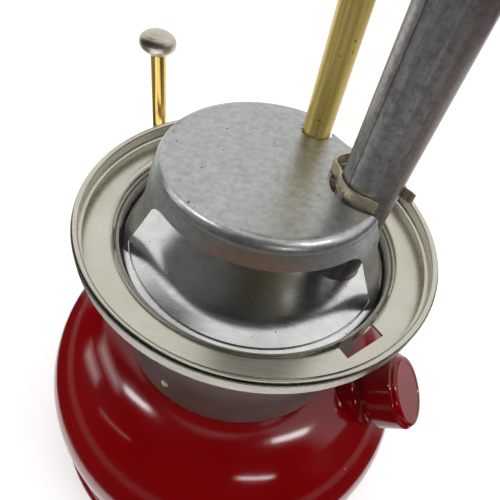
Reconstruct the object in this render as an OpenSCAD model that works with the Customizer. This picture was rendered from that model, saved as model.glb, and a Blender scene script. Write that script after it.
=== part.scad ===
// Pressure gasoline lantern with one generator: fuel tank, hand pump, collar, heat shield and burner.
// Millimetres. The origin is on the lantern's axis at the table, +Z is up, and -Y is the label side.

/* [Fount] */
// Outside radius of the fuel tank
fount_r = 70.4; // [67:0.2:74]
// Radius of the rounded shoulder
shoulder_r = 34; // [31:0.5:35]
// Height at which the straight side ends
side_h = 35; // [31:0.5:40]
// Thickness of the pressed steel
fount_wall = 1; // [0.8:0.1:1.3]
// Radius of the rolled bead round the base
bead_r = 2; // [1.5:0.1:2.4]
// Height of the middle of that bead
bead_z = 5; // [4:0.1:6]
// Height of the recessed bottom above the table
pan_rise = 3.5; // [2:0.1:4]

/* [Filler] */
// Distance of the filler's foot from the band, seen from above
filler_out = 12.2; // [11.8:0.1:13.6]
// Direction of the filler's foot round the axis
filler_az = -19.6; // [-30:0.2:-12]
// Direction that the filler points to, seen from above
filler_aim = -10; // [-25:1:-5]
// Angle of the filler above the horizon
filler_lift = 44; // [38:1:52]
// Outside radius of the neck
neck_r = 9.7; // [9:0.1:10.5]
// Bore radius of the neck
neck_bore = 7.6; // [6.5:0.1:8.2]
// Length of neck that stands out of the shoulder
neck_out = 12.3; // [10:0.1:14]
// Radius of the concave weld fillet round the neck
neck_fillet = 2.5; // [1.5:0.5:3]
// Outside radius of the cap
cap_r = 12.2; // [11.7:0.1:13]
// Height of the cap
cap_h = 10.4; // [9:0.2:11.4]
// Thickness of the sealing ring
gasket_t = 1.5; // [1:0.1:2]

/* [Pump] */
// Room between the pump barrel and the tank's side
pump_side = 2.2; // [1:0.1:3]
// Direction of the pump round the axis
pump_az = 137.4; // [125:0.5:150]
// Outside radius of the pump barrel
barrel_r = 9.5; // [9:0.1:10]
// Wall of the pump barrel
barrel_wall = 0.8; // [0.6:0.1:1]
// Height of the barrel above the shoulder
barrel_out = 16; // [14:0.5:20]
// Radius of the plunger rod
rod_r = 2.4; // [2.2:0.1:2.8]
// Bore radius of the plunger rod
rod_bore = 1.6; // [1.5:0.05:1.7]
// Radius of the pump knob
knob_r = 5.6; // [5:0.1:6.2]
// Height of the pump knob
knob_h = 6.9; // [6.5:0.1:8]

/* [Collar] */
// Width of the tank's shoulder that is left free outside the band
shoulder_w = 30; // [28.4:0.2:31.4]
// Sheet thickness of the band
band_wall = 0.8; // [0.6:0.1:1]
// Height of the band
band_h = 45; // [42:0.5:50]
// Width of the globe rest, from the band to the outside of its lip
rest_w = 10.2; // [8.6:0.2:11.4]
// Height of the lip above the rest's flat
lip_h = 5.2; // [4.5:0.1:6]
// Sheet thickness of the rest
rest_wall = 0.8; // [0.6:0.1:1]
// Radius of the roll at the rest's inner edge
roll_r = 2.2; // [1.6:0.1:2.6]
// Width of each bail slot
slot_w = 12.2; // [10:0.2:14]
// Depth of each bail slot, outwards from the band
slot_d = 4.6; // [4:0.1:6]
// Direction of the bail slot that shows
slot_az = -46.8; // [-50:0.2:-42]
// Radius of a rivet's head in the band
rivet_r = 1.3; // [1:0.1:1.6]
// Height of the rivets above the band's lower edge
rivet_h = 9.4; // [6:0.2:14]
// Direction of the first of the three rivets
rivet_az = -115.5; // [-118:0.5:-112]

/* [Deflector plate] */
// Gap between the plate's rim and the band
plate_gap = 0.5; // [0.4:0.1:1.8]
// Width of the plate's flat rim
plate_rim = 1.9; // [1.7:0.1:3]
// Rise of the plate's dome
plate_rise = 6; // [5:0.5:8]
// Sheet thickness of the plate
plate_wall = 0.7; // [0.5:0.1:0.9]

/* [Heat shield] */
// Radius of the shield's flat top, at its edge
shield_r = 29.4; // [28.6:0.2:30.4]
// Height of the shield above the plate's rim
shield_h = 29; // [27:0.5:32]
// Rounding of the shield's top edge
shield_round = 3; // [2:0.2:4]
// How far the skirt's lower edge stands out beyond the top
skirt_flare = 1.6; // [1.2:0.1:2.6]
// Depth of the skirt below the top
skirt_h = 7.3; // [6.5:0.1:8.5]
// Distance of the feet from the plate's edge
foot_in = 0.3; // [0.1:0.1:0.3]
// Sheet thickness of the shield
shield_wall = 0.8; // [0.6:0.1:1]
// Direction of the front window's middle
front_az = -91.5; // [-94:0.5:-89]
// Angle from there to the middle of each front foot
leg_spread = 71; // [68:0.5:74]
// Angle from a foot's middle to the leg's front edge at the skirt
leg_front = 19.5; // [17:0.5:21]
// How far the rear edge of a front leg lies in front of the foot's middle at the skirt
leg_rear = 4; // [2:0.5:6]
// Half the angle of a foot
foot_half = 5.6; // [4:0.2:7]
// Rounding of the window's corners
window_round = 5; // [3:0.5:6]
// Distance of the straight cut edge from the axis
chord_dist = 22.8; // [22:0.1:23.4]
// Direction of the straight cut edge
chord_az = 44; // [40:1:48]

/* [Burner] */
// Distance of the generator from the axis
gen_dist = 19.9; // [19:0.1:20.5]
// Direction of the generator, the valve and the wheel
gen_az = 61; // [56:1:66]
// Outside radius of the generator tube
gen_r = 3.97; // [3.6:0.01:4.2]
// Distance of the air tube from the axis
air_dist = 23.9; // [23.4:0.1:24.6]
// Direction of the air tube
air_az = -9.6; // [-12:0.2:-7]
// Outside radius of the air tube
air_r = 7.2; // [6.8:0.1:7.5]
// Wall of the air tube
air_wall = 0.8; // [0.6:0.1:1]
// Height of the burner head's middle above the shield
head_rise = 89; // [84:1:100]
// Length of the top stud that stands free
stud_len = 20; // [16:1:26]
// Radius of the top stud
stud_r = 2.4; // [2:0.1:3]
// Radius of the mantle's collar
burner_r = 9; // [8.5:0.1:10]

/* [Tube clip] */
// Width of the clip's band
clip_w = 3; // [2.4:0.2:4]
// Thickness of the clip's band
clip_t = 0.7; // [0.5:0.1:0.9]

/* [Valve] */
// Height of the valve stem above the fount's top
valve_rise = 21; // [20:0.5:25]
// Radius of the valve stem
stem_r = 2; // [1.8:0.1:2.4]
// Radius of the valve wheel
wheel_r = 14; // [12:0.5:15]
// Thickness of the valve wheel
wheel_t = 7; // [6:0.5:9]
// Lobes of the valve wheel
wheel_lobes = 8; // [6:1:10]
// Radius of the plain disc behind the wheel
disc_r = 14.5; // [12:0.5:15]
// Direction of the cleaning lever's shaft
lever_az = 100; // [96:1:104]
// Length of the cleaning lever's crank
lever_len = 17; // [14:0.5:20]
// Throw of the cleaning eccentric
throw = 1.4; // [1:0.1:1.5]

/* [Fits] */
// Gap between parts that turn or slide
run_gap = 0.05; // [0.02:0.01:0.1]
// Gap between parts that are pressed or screwed together
seat_gap = 0.02; // [0.01:0.01:0.04]
// Gap where one part passes loosely through another
pass_gap = 0.3; // [0.2:0.05:0.5]

/* [Hidden] */
rear_az = 90;
$fn = 96;
SMALL = 0.01;
REACH = 400;
RED = "#7a0d14";
NICKEL = "#c4c0b2";
GALVANISED = "#a9abad";
BRASS = "#b0914a";
STEEL = "#8f8c88";
DARK = "#3b3a39";
LEATHER = "#5a3d28";
CLIP_TAN = "#9a8468";

// Heights and centres of the fount
shoulder_c = fount_r - shoulder_r;
deck = side_h + shoulder_r;
shell_z = bead_z + bead_r;
pan_t = 1.2;
pan_top = pan_rise + pan_t;
foot_w = 4;
bead_in = 0.3;
spigot_h = 2;

// Radii of the collar, the plate and the shield, from the tank's side inwards
band_r = fount_r - shoulder_w;
rest_r = band_r + rest_w;
plate_r = band_r - band_wall - plate_gap;
foot_r = plate_r - foot_in;
skirt_r = shield_r + skirt_flare;

// Heights of the collar, the plate and the shield
band_top = deck + band_h;
rest_rise = 2.8;
rest_z = band_top + rest_rise;
lip_z = rest_z + lip_h;
base_t = 0.9;
plate_drop = 3;
plate_z = band_top - plate_drop;
plate_skirt = 3;
plate_in = plate_r - plate_rim;
plate_step = 0.4;
step_in = 0.3;
step_w = 0.5;
plate_ball = (plate_in * plate_in + plate_rise * plate_rise) / (2 * plate_rise);
plate_apex = plate_z + plate_step + plate_rise;
shield_z = plate_z + shield_h;
skirt_z = shield_z - skirt_h;
foot_z = plate_z;
hole_room = 1.9;
hole_shift = 0.5;

// Heights of the valve, the generator and the burner head
valve_z = deck + valve_rise;
column_r = 8;
column_rise = 8;
column_top = valve_z + column_rise;
column_drop = 14;
column_low = deck - column_drop;
arm_r = 6;
boss_r = 7;
arm_over = 1.5;
arm_len = gen_dist + boss_r + arm_over;
fuel_bore = 1.2;
fuel_tube_r = 3;
fuel_tube_wall = 1;
fuel_tube_rise = 4;
boss_under = 2;
gen_floor = 4;
boss_rise = 11;
boss_top = valve_z + boss_rise;
block_h = 9;
block_top = boss_top + block_h;
lever_z = boss_top + block_h / 2;
jam_af = 17;
jam_t = 8;
gen_bore = 2.6;
gen_seat = 1;
gen_low = block_top + gen_seat;
head_z = shield_z + head_rise;
head_half = 9;
head_wall = 2.6;
head_crown = 2.5;
stack_wall = 3;
stack_drop = 12;
air_socket = 10;
gen_socket = 13;
duct_wall = 1.2;
duct_bore = 4.5;
stud_seat = 3;
stud_nut_af = 9;
stud_nut_t = 3;
gen_drop = 15;
gen_top = head_z - gen_drop;
gen_boss_gap = 0.23;
tip_t = 5;
tip_af = 9;
tip_hole = 0.6;
needle_r = 0.45;
yoke_w = 6.4;
yoke_t = 2;
yoke_h = 5.4;
pin_r = 0.8;
pin_drop = throw * sin(45);
pin_cover = 0.2;
crank_shaft_r = throw + pin_r + pin_cover;
lever_r = 1.6;
lever_low = 6;
lever_out = 6;
gland_r = 4;
gland_t = 4;
nut_af = 26;
nut_t = 5.5;
packing_af = 13;
packing_room = 3.2;
packing_t = band_r - band_wall - arm_len - packing_room;
air_under = 2;
air_low = plate_z - air_under;
tube_drop = 3;
tube_top = head_z - tube_drop;
burner_tube_r = 6;
burner_tube_wall = 1;
tube_seat = 4;
burner_drop = 35;
burner_low = head_z - burner_drop;
burner_h = 12;
burner_wall = 1;
screen_t = 0.8;

// Places of the wheel and the disc along the valve's direction
disc_gap = 0.1;
disc_x = band_r + disc_gap;
disc_t = 0.8;
wheel_gap = 2;
wheel_x = rest_r + wheel_gap;
stem_end = wheel_x + wheel_t;

// Where the pump meets the shoulder, and the plunger's travel
pump_dist = fount_r - fount_wall - barrel_r - pump_side;
pump_z = side_h + sqrt(shoulder_r * shoulder_r - (pump_dist - shoulder_c) * (pump_dist - shoulder_c));
barrel_top = pump_z + barrel_out;
barrel_bore = barrel_r - barrel_wall;
floor_t = 2;
floor_rise = 7.3;
floor_z = pan_top + floor_rise;
barrel_low = floor_z - floor_t;
check_r = 5;
check_gap = 0.8;
check_low = pan_top + check_gap;
pump_cap_wall = 2;
pump_cap_r = barrel_r + pump_cap_wall;
pump_cap_h = 6;
pump_cap_skirt = 7;
pump_cap_round = 1;
guide_low = 4;
guide_high = 2;
boss_out = 4;
pump_cap_top = barrel_top + pump_cap_h;
piston_top_room = 10;
piston_z = barrel_top - piston_top_room;
floor_room = 0.6;
stroke = piston_z - floor_z - floor_room;
knob_room = 3;
knob_rim = 2.6;
knob_mid = 3.35;
knob_dome = 8;
rod_seat = 4;
knob_z = pump_cap_top + knob_room + stroke;
nut_h = 3;
cup_gap = 0.1;
cup_r = barrel_bore - cup_gap;
stem_room = 4;
stem_top = piston_z - stem_room;
air_stem_r = rod_bore - pass_gap;
ball_r = 1.4;
ball_lift = 0.8;

// Foot of the filler on the shoulder, and levels along its axis
filler_dist = band_r + filler_out;
filler_z = side_h + sqrt(shoulder_r * shoulder_r - (filler_dist - shoulder_c) * (filler_dist - shoulder_c));
neck_in = 11;
fillet_trim = 0.8;
insert_t = 0.8;
cap_roof = 1.3;
cap_edge = 1;
cap_crown = 1.5;
cap_step = 1.4;
cap_land = 0.15;
seal_in = 0.1;
seal_s = neck_out + run_gap;
insert_s = seal_s + gasket_t + run_gap;
cap_top_s = insert_s + insert_t + seat_gap + cap_roof;
cap_low_s = cap_top_s - cap_h;
thread_pitch = 2.1;
cap_turns = 4;

echo(stroke_mm = stroke, cap_lift_mm = thread_pitch * cap_turns, needle_lift_mm = 2 * pin_drop);

// Helpers

// A polar place seen from above
module at(dist, az, z = 0) {
    rotate([0, 0, az]) translate([dist, 0, z]) children();
}

// A rod along the local X axis
module rod_x(r, x0, x1) {
    translate([x0, 0, 0]) rotate([0, 90, 0]) cylinder(r = r, h = x1 - x0);
}

// A hexagon prism of a width across its flats, standing on z = 0
module hex(af, h) {
    cylinder(r = af / sqrt(3), h = h, $fn = 6);
}

// A ring of square section
module ring(r_out, r_in, h) {
    difference() {
        cylinder(r = r_out, h = h);
        translate([0, 0, -1]) cylinder(r = r_in, h = h + 2);
    }
}

// Points along an arc, from one angle to another
function arc(x, y, r, from, to, steps = 10) =
    [for (i = [0 : steps]) let (a = from + (to - from) * i / steps) [x + r * cos(a), y + r * sin(a)]];

// The half plane right of the axis, from a height upwards
module right_half(z) {
    translate([0, z]) square([REACH, REACH]);
}

// Half section of the fount's outside, inset by a wall
module fount_region(inset, z0) {
    translate([0, z0]) square([fount_r - inset, side_h - z0]);
    translate([0, side_h]) square([shoulder_c, shoulder_r - inset]);
    intersection() {
        translate([shoulder_c, side_h]) circle(shoulder_r - inset);
        right_half(side_h);
    }
}

module fount_solid(grow = 0) {
    rotate_extrude() fount_region(-grow, bead_z);
}

module at_filler() {
    rotate([0, 0, filler_az]) translate([filler_dist, 0, filler_z])
        rotate([0, 0, filler_aim - filler_az]) rotate([0, 90 - filler_lift, 0]) children();
}

module at_pump(z = 0) {
    at(pump_dist, pump_az, z) children();
}

module at_generator(z = 0) {
    at(gen_dist, gen_az, z) children();
}

// The valve's own frame: X runs outwards along the stem
module at_valve() {
    rotate([0, 0, gen_az]) translate([0, 0, valve_z]) children();
}

// The cleaning lever's own frame: X runs outwards from the generator's axis
module at_lever() {
    at_generator(lever_z) rotate([0, 0, lever_az - gen_az]) children();
}

module at_air(z = 0) {
    at(air_dist, air_az, z) children();
}

// Fount

module fount_shell() {
    color(RED) difference() {
        rotate_extrude() difference() {
            fount_region(0, shell_z);
            fount_region(fount_wall, shell_z - 1);
        }
        translate([0, 0, side_h]) cylinder(r = column_r + seat_gap, h = REACH);
        at_pump(side_h) cylinder(r = barrel_r + seat_gap, h = REACH);
        at_filler() translate([0, 0, -2 * neck_in]) cylinder(r = neck_r + seat_gap, h = REACH);
    }
}

module fount_bottom() {
    color(RED) rotate_extrude() {
        translate([fount_r - bead_in, bead_z]) circle(bead_r);
        translate([fount_r - foot_w, 0]) square([foot_w - 0.6, bead_z]);
        translate([0, pan_rise]) square([fount_r - foot_w + SMALL, pan_t]);
        translate([fount_r - foot_w, bead_z - SMALL])
            square([foot_w - fount_wall - seat_gap, shell_z - bead_z + spigot_h]);
    }
}

// Filler

module filler_neck() {
    color(RED) {
        difference() {
            at_filler() union() {
                translate([0, 0, -neck_in]) cylinder(r = neck_r, h = neck_in + neck_out);
                intersection() {
                    rotate_extrude() difference() {
                        translate([0, -neck_in]) square([neck_r + neck_fillet, neck_in + neck_fillet]);
                        translate([neck_r + neck_fillet, neck_fillet]) circle(neck_fillet);
                    }
                    translate([0, 0, -neck_in]) cylinder(r = neck_r + neck_fillet - fillet_trim, h = REACH);
                }
            }
            difference() {
                fount_solid(seat_gap);
                at_filler() translate([0, 0, -2 * neck_in]) cylinder(r = neck_r, h = REACH);
            }
            at_filler() translate([0, 0, -2 * neck_in]) cylinder(r = neck_bore, h = REACH);
        }
    }
}

module filler_gasket() {
    color(DARK) at_filler() translate([0, 0, seal_s]) ring(neck_r - seal_in, neck_bore, gasket_t);
}

module filler_cap() {
    bore = neck_r + pass_gap;
    under = cap_top_s - cap_roof;
    edge_s = cap_top_s - cap_crown - cap_edge;
    crown = cap_r - cap_step - cap_crown + 0.6;
    land = crown - 1;
    color(RED) at_filler() rotate_extrude() polygon(concat(
        [[0, under], [bore, under], [bore, cap_low_s], [cap_r, cap_low_s]],
        arc(cap_r - cap_edge, edge_s, cap_edge, 0, 70),
        arc(crown, cap_top_s - cap_crown, cap_crown, 15, 90),
        [[land, cap_top_s], [land - cap_land, cap_top_s - cap_land], [0, cap_top_s - cap_land]]));
}

module cap_insert() {
    color(BRASS) at_filler() translate([0, 0, insert_s]) cylinder(r = neck_r - seal_in, h = insert_t);
}

// Pump

module pump_boss() {
    color(RED) difference() {
        at_pump(side_h) cylinder(r = pump_cap_r, h = pump_z + boss_out - side_h);
        fount_solid(seat_gap);
        at_pump(side_h - 1) cylinder(r = barrel_r + seat_gap, h = REACH);
    }
}

module pump_barrel() {
    color(BRASS) at_pump() difference() {
        translate([0, 0, barrel_low]) cylinder(r = barrel_r, h = barrel_top - barrel_low);
        translate([0, 0, floor_z]) cylinder(r = barrel_bore, h = REACH);
        translate([0, 0, barrel_low - 1]) cylinder(r = check_r + seat_gap, h = REACH);
    }
}

module pump_cap() {
    low = barrel_top - pump_cap_skirt;
    round = pump_cap_round;
    color(NICKEL) at_pump() difference() {
        union() {
            translate([0, 0, low]) cylinder(r = pump_cap_r, h = pump_cap_skirt + round);
            rotate_extrude() {
                translate([0, barrel_top]) square([pump_cap_r - round, 2 * round]);
                translate([pump_cap_r - round, barrel_top + round]) circle(round);
            }
            translate([0, 0, barrel_top])
                cylinder(r1 = rod_r + guide_low, r2 = rod_r + guide_high, h = pump_cap_h);
        }
        translate([0, 0, low - 1]) cylinder(r = barrel_r + seat_gap, h = pump_cap_skirt + 1);
        translate([0, 0, barrel_top - 1]) cylinder(r = rod_r + run_gap, h = REACH);
    }
}

module check_valve() {
    chamber = ball_r + 0.4;
    color(BRASS) at_pump() difference() {
        translate([0, 0, check_low]) cylinder(r = check_r, h = floor_z - check_low);
        translate([0, 0, check_low - 1]) cylinder(r = 1, h = REACH);
        translate([0, 0, check_low + 1]) cylinder(r = chamber, h = 2 * ball_r + ball_lift + 0.4);
        translate([0, 0, floor_z - 1]) cylinder(r = air_stem_r + seat_gap, h = 2);
    }
}

module check_ball() {
    color(STEEL) at_pump(check_low + 1 + ball_r + 0.1) sphere(ball_r);
}

module air_stem() {
    color(BRASS) at_pump(floor_z - 1) difference() {
        cylinder(r = air_stem_r, h = stem_top - floor_z + 1);
        translate([0, 0, -1]) cylinder(r = 0.5, h = 2.5);
    }
}

// The piston's pieces are stacked from the nut upwards, with a hair of room between them.
plate_s = piston_z + nut_h + 0.1;
leather_s = plate_s + 1 + seat_gap;
retainer_s = leather_s + 1.5 + seat_gap;
collar_s = retainer_s + 1 + 0.1;

module cup_nut() {
    color(BRASS) at_pump(piston_z) difference() {
        hex(9, nut_h);
        translate([0, 0, -1]) cylinder(r = rod_r + seat_gap, h = nut_h + 2);
    }
}

module cup_plate() {
    color(STEEL) at_pump(plate_s) ring(cup_r - 1.9, rod_r + run_gap, 1);
}

module pump_cup() {
    lip = 3.4;
    color(LEATHER) at_pump() difference() {
        translate([0, 0, leather_s - lip]) cylinder(r = cup_r, h = lip + 1.5);
        translate([0, 0, leather_s - lip - 1]) cylinder(r = cup_r - 1.5, h = lip + 1);
        translate([0, 0, leather_s - 1]) cylinder(r = rod_r + run_gap, h = 4);
    }
}

module cup_retainer() {
    color(STEEL) at_pump(retainer_s) ring(cup_r - 2.5, rod_r + run_gap, 1);
}

module plunger_rod() {
    collar_r = rod_r + 1.3;
    color(BRASS) at_pump() difference() {
        union() {
            translate([0, 0, piston_z]) cylinder(r = rod_r, h = knob_z + rod_seat - seat_gap - piston_z);
            translate([0, 0, collar_s]) cylinder(r = collar_r, h = 1.6);
        }
        translate([0, 0, piston_z - 1]) cylinder(r = rod_bore, h = stroke + 3);
    }
}

module pump_knob() {
    waist = rod_r + 0.5;
    bore = rod_r + seat_gap;
    color(NICKEL) at_pump(knob_z) rotate_extrude() polygon(concat(
        [[0, rod_seat], [bore, rod_seat], [bore, 0], [waist, 0]],
        arc(knob_r - knob_rim, knob_mid, knob_rim, -50, 62),
        arc(0, knob_h - knob_dome, knob_dome, 60, 90)));
}

// Valve

module fuel_tube() {
    low = pan_top + fuel_tube_rise;
    color(BRASS) translate([0, 0, low]) ring(fuel_tube_r, fuel_tube_r - fuel_tube_wall, column_low - low);
}

module valve_body() {
    low = column_low;
    boss_low = valve_z - boss_under;
    color(BRASS) difference() {
        union() {
            translate([0, 0, low]) cylinder(r = column_r, h = column_top - low);
            at_valve() rod_x(arm_r, 0, arm_len);
            at_generator(boss_low) cylinder(r = boss_r, h = boss_top - boss_low);
        }
        translate([0, 0, low - 1]) cylinder(r = fuel_bore, h = valve_z - low - 4);
        at_valve() rod_x(stem_r + run_gap, gen_dist - 5, REACH);
        at_generator(valve_z + gen_floor) cylinder(r = gen_r + gen_boss_gap, h = REACH);
    }
}

module clamp_nut() {
    color(BRASS) translate([0, 0, deck + base_t]) difference() {
        hex(nut_af, nut_t);
        translate([0, 0, -1]) cylinder(r = column_r + seat_gap, h = nut_t + 2);
    }
}

module packing_nut() {
    color(BRASS) at_valve() translate([arm_len, 0, 0]) rotate([0, 90, 0]) difference() {
        hex(packing_af, packing_t);
        translate([0, 0, -1]) cylinder(r = stem_r + run_gap, h = packing_t + 2);
    }
}

module valve_stem() {
    color(BRASS) at_valve() difference() {
        rod_x(stem_r, gen_dist - 4, stem_end);
        rod_x(1 + seat_gap, stem_end - 5, stem_end + 1);
    }
}

module valve_wheel() {
    scallop = wheel_r * 0.36;
    recess = 2;
    color(DARK) at_valve() translate([wheel_x, 0, 0]) rotate([0, 90, 0]) difference() {
        union() {
            cylinder(r = wheel_r - 1, h = wheel_t);
            translate([0, 0, 1]) cylinder(r = wheel_r, h = wheel_t - 2);
        }
        for (i = [0 : wheel_lobes - 1])
            rotate([0, 0, 360 / wheel_lobes * i]) translate([wheel_r + scallop * 0.55, 0, -1])
                cylinder(r = scallop, h = wheel_t + 2);
        translate([0, 0, wheel_t - recess]) ring(wheel_r - 4.5, stem_r + 3, recess + 1);
        translate([0, 0, -1]) cylinder(r = stem_r + seat_gap, h = wheel_t + 2);
    }
}

module wheel_screw() {
    color(NICKEL) at_valve() difference() {
        union() {
            rod_x(1, stem_end - 4, stem_end + 1);
            rod_x(stem_r + 1.6, stem_end, stem_end + 1.8);
        }
        translate([stem_end + 1, -0.4, -REACH / 2]) cube([2, 0.8, REACH]);
    }
}

module direction_disc() {
    color(NICKEL) at_valve() difference() {
        union() {
            rod_x(disc_r, disc_x, disc_x + disc_t);
            rod_x(stem_r + 3, disc_x, disc_x + 2);
        }
        rod_x(stem_r + pass_gap, disc_x - 1, disc_x + 3);
    }
}

module eccentric_block() {
    color(BRASS) difference() {
        at_generator(boss_top) cylinder(r = boss_r, h = block_top - boss_top);
        at_generator(boss_top - 1) cylinder(r = gen_r + gen_boss_gap, h = REACH);
        at_lever() rod_x(crank_shaft_r + run_gap, 0, REACH);
    }
}

module lever_gland() {
    color(BRASS) at_lever() translate([boss_r + seat_gap, 0, 0]) rotate([0, 90, 0]) difference() {
        cylinder(r = gland_r, h = gland_t);
        translate([0, 0, -1]) cylinder(r = lever_r + run_gap, h = gland_t + 2);
    }
}

// The wire crank hangs down outside the band.
// A quarter turn takes its pin from below the shaft to above it.
module cleaning_lever() {
    out = band_hit(lever_az) + lever_out;
    color(STEEL) at_lever() {
        translate([0, pin_drop, -pin_drop]) rod_x(pin_r, -yoke_t / 2 - 0.4, yoke_t / 2 + 0.6);
        rod_x(crank_shaft_r, yoke_t / 2 + 0.5, boss_r - 0.1);
        rod_x(lever_r, boss_r - 0.2, out);
        translate([out, 0, 0]) sphere(lever_r);
        translate([out, 0, -lever_len]) cylinder(r = lever_r, h = lever_len);
        translate([out, 0, -lever_len]) sphere(lever_r);
        translate([0, 0, -lever_len]) rod_x(lever_r, out, out + lever_low);
        translate([out + lever_low, 0, -lever_len]) sphere(lever_r);
    }
}

// Distance from the generator's axis, along a direction, to the band's outside
function band_hit(az) = -gen_dist * cos(az - gen_az)
    + sqrt(band_r * band_r - pow(gen_dist * sin(az - gen_az), 2));

module cleaning_needle() {
    slack = 0.4;
    tip = 3.2;
    color(STEEL) at_lever() {
        difference() {
            translate([-yoke_t / 2, -yoke_w / 2, -pin_drop - yoke_h / 2]) cube([yoke_t, yoke_w, yoke_h]);
            translate([-yoke_t, -yoke_w / 2 + 0.7, -pin_drop - pin_r - slack / 2])
                cube([2 * yoke_t, yoke_w - 1.4, 2 * pin_r + slack]);
        }
        translate([0, 0, -pin_drop + yoke_h / 2 - SMALL])
            cylinder(r = needle_r, h = gen_top + tip - lever_z + pin_drop - yoke_h / 2);
    }
}

module jam_nut() {
    color(BRASS) at_generator(block_top) difference() {
        hex(jam_af, jam_t);
        translate([0, 0, -1]) cylinder(r = gen_r + seat_gap, h = jam_t + 2);
    }
}

module generator_tube() {
    color(BRASS) at_generator(gen_low) ring(gen_r, gen_bore, gen_top - gen_low);
}

module generator_liner() {
    color(LEATHER) at_generator(gen_low + 2)
        ring(gen_bore - seat_gap, needle_r + 0.8, gen_top - gen_low - 12);
}

module gas_tip() {
    spigot = 5;
    color(BRASS) at_generator(gen_top) difference() {
        union() {
            hex(tip_af, tip_t - 2);
            cylinder(r1 = tip_af / 2, r2 = 1.8, h = tip_t);
            translate([0, 0, -spigot]) cylinder(r = gen_bore - seat_gap, h = spigot + 1);
        }
        translate([0, 0, -spigot - 1]) cylinder(r = 1.4, h = spigot + tip_t - 0.6);
        cylinder(r = tip_hole, h = tip_t + 1);
    }
}

// Collar

module collar_band() {
    inner = band_r - band_wall;
    ledge_z = plate_z - plate_wall - plate_skirt - band_wall;
    color(STEEL) difference() {
        rotate_extrude() {
            translate([inner, deck]) square([band_wall, band_h]);
            translate([column_r + seat_gap, deck]) square([inner - column_r, base_t]);
            translate([plate_r - 2, ledge_z]) square([inner - plate_r + 2 + SMALL, band_wall]);
        }
        at_valve() rod_x(stem_r + 1.5, 0, REACH);
        at_lever() rod_x(lever_r + 0.8, boss_r, REACH);
        rivet_places() rod_x(rivet_r * 0.6 + seat_gap, 0, REACH);
    }
}

module rivet_places() {
    for (i = [0 : 2]) rotate([0, 0, rivet_az + 120 * i]) translate([0, 0, deck + rivet_h]) children();
}

module band_rivets() {
    inner = band_r - band_wall - 0.5;
    head = 0.8;
    dome = (rivet_r * rivet_r + head * head) / (2 * head);
    color(BRASS) rivet_places() {
        rod_x(rivet_r * 0.6, inner, band_r + head / 2);
        translate([band_r + 0.05, 0, 0]) rotate([0, 90, 0]) rotate_extrude()
            polygon(concat([[0, 0]], arc(0, head - dome, dome, asin(1 - head / dome), 90)));
    }
}

module bail_slots() {
    for (side = [0, 180])
        rotate([0, 0, slot_az + side]) translate([band_r, -slot_w / 2, deck]) cube([slot_d, slot_w, REACH]);
}

module globe_rest() {
    hem = 0.9;
    corner = 1.2;
    roll_c = rest_r - 7.9;
    roll_z = rest_z - roll_r;
    skirt_low = roll_z - 5;
    lip_in = rest_r - rest_wall;
    under = rest_z - rest_wall;
    hem_x = rest_r - hem;
    hem_z = lip_z - hem;
    hem_start = acos((lip_in - hem_x) / hem);
    color(NICKEL) difference() {
        rotate_extrude() polygon(concat(
            [[roll_c - roll_r, skirt_low]],
            arc(roll_c, roll_z, roll_r, 180, 90),
            arc(lip_in - corner, rest_z + corner, corner, -90, 0),
            arc(hem_x, hem_z, hem, -hem_start, -360, 20),
            arc(rest_r - corner - rest_wall, under + corner + rest_wall, corner + rest_wall, 0, -90),
            arc(roll_c, roll_z, roll_r - rest_wall, 90, 180),
            [[roll_c - roll_r + rest_wall, skirt_low]]));
        bail_slots();
    }
}

module inner_plate() {
    color(GALVANISED) difference() {
        rotate_extrude() {
            translate([plate_in, plate_z - plate_wall]) square([plate_rim, plate_wall]);
            translate([plate_r - plate_wall, plate_z - plate_wall - plate_skirt])
                square([plate_wall, plate_skirt + SMALL]);
            translate([plate_in - step_in, plate_z - plate_wall]) square([step_w, plate_wall + plate_step]);
            intersection() {
                translate([0, plate_apex - plate_ball]) difference() {
                    circle(plate_ball, $fn = 240);
                    circle(plate_ball - plate_wall, $fn = 240);
                }
                translate([0, plate_z - plate_wall]) square([plate_in, plate_rise + 2]);
            }
        }
        at_generator(plate_z - 5) cylinder(r = jam_af / sqrt(3) + pass_gap, h = REACH);
        at_air(plate_z - 5) cylinder(r = air_r + seat_gap, h = REACH);
    }
}

// Heat shield

// Half section of the shield's outside, inset by its sheet thickness
module shield_region(inset) {
    flare = 1.1 * inset;
    low = foot_z - (inset > 0 ? 1 : 0);
    translate([0, low]) square([shield_r - shield_round, shield_z - inset - low]);
    translate([shield_r - shield_round, shield_z - shield_round]) circle(shield_round - inset);
    polygon([[0, low], [foot_r - flare, low], [skirt_r - flare, skirt_z],
        [shield_r - inset, shield_z - shield_round], [0, shield_z - shield_round]]);
}

// A window between two legs, seen square on: each side has its distance from the middle at top and foot
module window(left, right) {
    top = skirt_z + 0.8;
    below = 2;
    function lean(side) = (side[1] - side[0]) / (top - foot_z);
    function centre(side) = side[0] - window_round * (sqrt(1 + lean(side) * lean(side)) - lean(side));
    function edge(side, way) = [way * (centre(side) + window_round * cos(atan(lean(side)))),
        top - window_round + window_round * sin(atan(lean(side)))];
    function low(side, way) = [way * (side[1] + lean(side) * below), foot_z - below];
    rotate([90, 0, 0]) linear_extrude(REACH) {
        polygon([low(left, -1), low(right, 1), edge(right, 1),
            [centre(right), top], [-centre(left), top], edge(left, -1)]);
        translate([centre(right), top - window_round]) circle(window_round);
        translate([-centre(left), top - window_round]) circle(window_round);
    }
}

// The windows lie between the legs: one wide one in front, two behind, from each front leg to the rear one.
module window_between(az_a, az_b, top_a, top_b) {
    half = (az_b - az_a) / 2;
    low = foot_r * sin(half - foot_half);
    rotate([0, 0, (az_a + az_b) / 2 + 90])
        window([skirt_r * sin(half - top_a), low], [skirt_r * sin(half - top_b), low]);
}

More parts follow.
